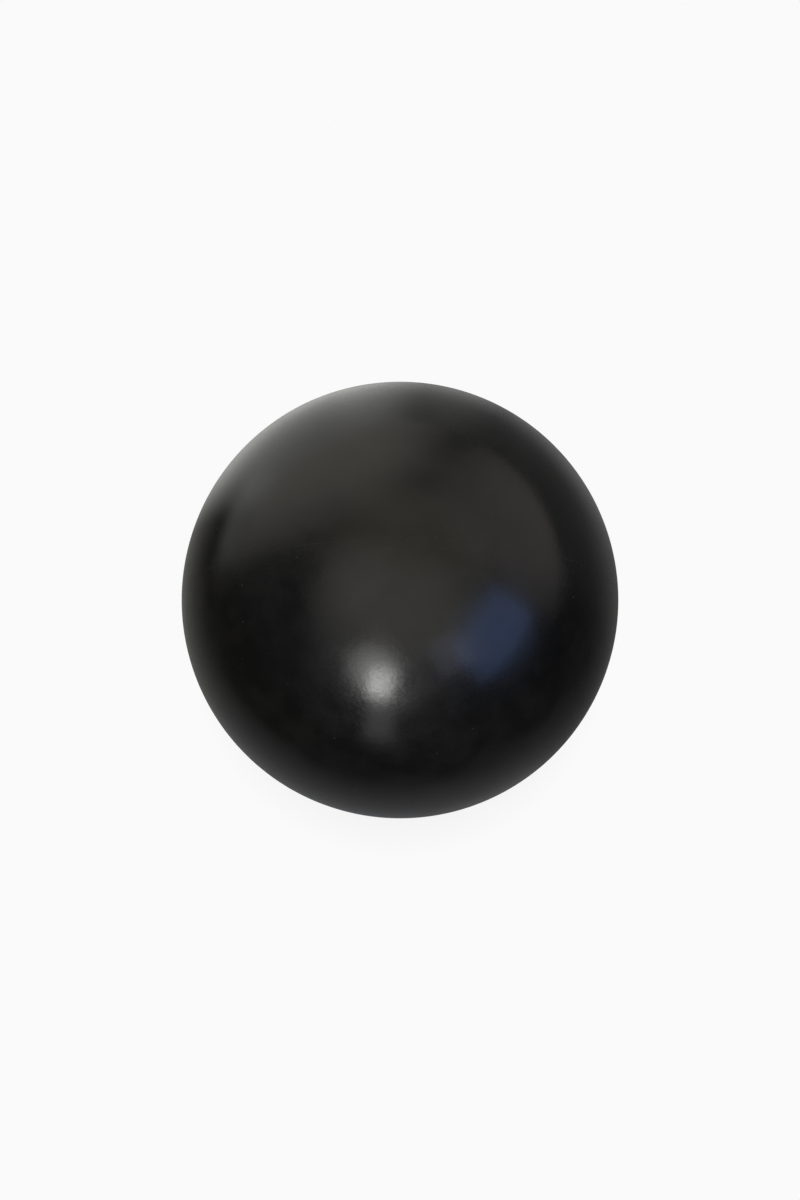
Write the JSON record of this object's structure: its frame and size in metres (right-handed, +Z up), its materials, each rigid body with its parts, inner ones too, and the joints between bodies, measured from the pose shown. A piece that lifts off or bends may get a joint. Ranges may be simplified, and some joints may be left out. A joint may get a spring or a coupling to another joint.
{
  "type": "case opening friction ball",
  "caption": "Smooth black inflatable rubber ball that is pressed by hand on a screw-back watch case and turned to open or close it; needle valve flush in its back.",
  "frame": {"origin": "centre of the ball", "axes": "+Y out along the valve, +Z up, away from the watch that the ball is pressed on along -Z"},
  "size_m": [0.065, 0.0647, 0.065],
  "materials": {
    "cover_rubber": "smooth satin, slightly tacky",
    "cement": "buffed flush",
    "bladder_butyl": "matt, dusted",
    "valve_rubber": "moulded matt",
    "core_rubber": "moulded satin"
  },
  "bodies": {
    "root": {"cover_front": "cover_rubber", "cover_back": "cover_rubber", "seam_cement": "cement", "bladder": "bladder_butyl", "valve_patch": "bladder_butyl", "valve_housing": "valve_rubber", "valve_core": "core_rubber"}
  },
  "joints": []
}
